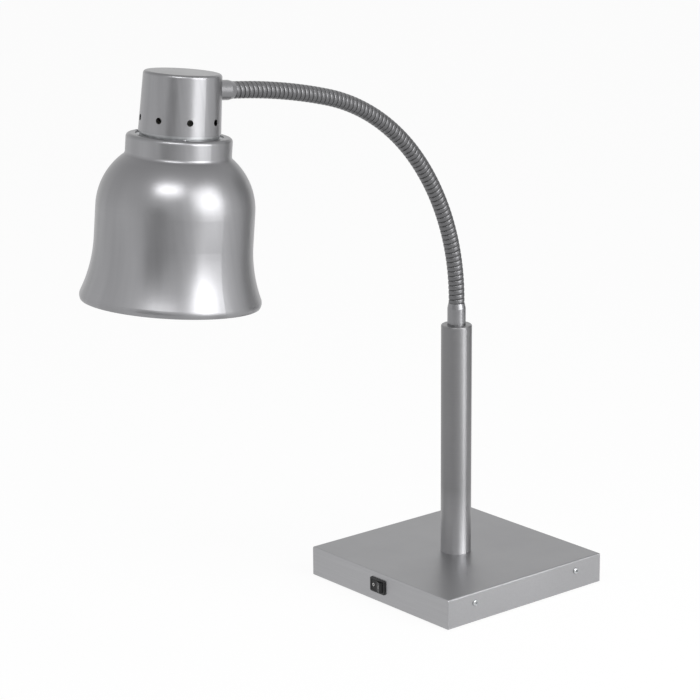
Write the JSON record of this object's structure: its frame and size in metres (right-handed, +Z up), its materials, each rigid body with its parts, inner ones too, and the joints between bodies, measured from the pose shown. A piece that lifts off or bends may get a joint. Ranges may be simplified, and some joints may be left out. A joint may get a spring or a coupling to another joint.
{
  "type": "food warming lamp",
  "caption": "Heat lamp for keeping food warm: square weighted base with a rocker switch, round pole, flexible ribbed neck and a vented bell shade over a reflector bulb.",
  "frame": {"origin": "centre of the underside of the pad under the base, on the axis of the pole, at the level of the table", "axes": "+Z up along the pole; -Y from the pole to the shade and to the wall with the switch; +X to the viewer's right when the switch faces the viewer"},
  "size_m": [0.2188, 0.5653, 0.5802],
  "materials": {
    "shade_metal": "satin",
    "cap_metal": "satin",
    "housing_steel": "brushed",
    "pole_metal": "satin",
    "ferrule_metal": "polished",
    "neck_metal": "polished",
    "inner_steel": "zinc plated",
    "fastener_steel": "zinc plated",
    "rivet_metal": "satin",
    "ballast_iron": "rough",
    "pad_rubber": "matte",
    "lead_rubber": "matte",
    "wire_plastic": "matte",
    "porcelain": "glazed",
    "brass": "plain",
    "bulb_glass": "ruby coated",
    "filament_metal": "plain",
    "switch_plastic": "satin",
    "rocker_plastic": "satin",
    "gland_plastic": "matte",
    "block_plastic": "matte"
  },
  "bodies": {
    "stand": {"anti_slip_pad": "pad_rubber", "ballast_plate": "ballast_iron", "ballast_screws": "fastener_steel", "base_housing": "housing_steel", "base_wires": "wire_plastic", "block_screws": "fastener_steel", "bottom_plate": "inner_steel", "cable_gland": "gland_plastic", "clamp_screws": "brass", "earth_screw": "brass", "gland_nut": "gland_plastic", "gland_seal": "lead_rubber", "hollow_stud": "fastener_steel", "lower_ferrule": "ferrule_metal", "neck_lower_end": "neck_metal", "pole_cap": "pole_metal", "pole_plug": "inner_steel", "pole_tube": "pole_metal", "side_nuts": "fastener_steel", "side_screws": "fastener_steel", "stand_lead": "lead_rubber", "stiffener_plate": "inner_steel", "stud_nut": "fastener_steel", "stud_washer": "fastener_steel", "switch_contacts": "brass", "switch_housing": "switch_plastic", "terminal_block": "block_plastic"},
    "neck_1": {"neck_link_1": "neck_metal", "lead_link_1": "lead_rubber"},
    "neck_2": {"neck_link_2": "neck_metal", "lead_link_2": "lead_rubber"},
    "neck_3": {"neck_link_3": "neck_metal", "lead_link_3": "lead_rubber"},
    "neck_4": {"neck_link_4": "neck_metal", "lead_link_4": "lead_rubber"},
    "neck_5": {"neck_link_5": "neck_metal", "lead_link_5": "lead_rubber"},
    "neck_6": {"neck_link_6": "neck_metal", "lead_link_6": "lead_rubber"},
    "head": {"bell_shade": "shade_metal", "bulb_contact": "brass", "bulb_glass": "bulb_glass", "bulb_screw_cap": "brass", "cap": "cap_metal", "ferrule_nut": "fastener_steel", "filament_mount": "filament_metal", "head_lead": "lead_rubber", "head_wires": "wire_plastic", "holder_bracket": "inner_steel", "holder_contact": "brass", "holder_screws": "fastener_steel", "holder_shell": "brass", "holder_terminals": "brass", "lamp_holder": "porcelain", "neck_upper_end": "neck_metal", "ring_screws": "fastener_steel", "shade_ring": "inner_steel", "shade_rivets": "rivet_metal", "upper_ferrule": "ferrule_metal"},
    "rocker": {"rocker": "rocker_plastic"}
  },
  "joints": [
    {"name": "bend_1", "type": "hinge", "parent": "stand", "child": "neck_1", "pos_m": [0, -0.00115, 0.3279], "axis": [1, 0, 0], "range_deg": [-14, 7.6]},
    {"name": "sway_1", "type": "hinge", "parent": "neck_1", "child": "neck_2", "pos_m": [0, -0.01483, 0.38846], "axis": [0, 0.9402, 0.3406], "range_deg": [-12, 12]},
    {"name": "bend_2", "type": "hinge", "parent": "neck_2", "child": "neck_3", "pos_m": [0, -0.04311, 0.44373], "axis": [1, 0, 0], "range_deg": [-14, 7.6]},
    {"name": "sway_2", "type": "hinge", "parent": "neck_3", "child": "neck_4", "pos_m": [0, -0.0845, 0.48997], "axis": [0, 0.6451, 0.7641], "range_deg": [-12, 12]},
    {"name": "bend_3", "type": "hinge", "parent": "neck_4", "child": "neck_5", "pos_m": [0, -0.13709, 0.52288], "axis": [1, 0, 0], "range_deg": [-14, 7.6]},
    {"name": "sway_3", "type": "hinge", "parent": "neck_5", "child": "neck_6", "pos_m": [0, -0.19657, 0.54087], "axis": [0, 0.2148, 0.9767], "range_deg": [-12, 12]},
    {"name": "bend_4", "type": "hinge", "parent": "neck_6", "child": "head", "pos_m": [0, -0.25793, 0.55119], "axis": [1, 0, 0], "range_deg": [-14, 7.6]},
    {"name": "rocker_tilt", "type": "hinge", "parent": "stand", "child": "rocker", "pos_m": [0, -0.1065, 0.019], "axis": [0, 0, 1], "range_deg": [0, 22]}
  ],
  "couplings": [
    {"joint": "bend_2", "follows": "bend_1", "ratio": 1},
    {"joint": "bend_3", "follows": "bend_1", "ratio": 1},
    {"joint": "bend_4", "follows": "bend_1", "ratio": 1},
    {"joint": "sway_2", "follows": "sway_1", "ratio": 1},
    {"joint": "sway_3", "follows": "sway_1", "ratio": 1}
  ]
}
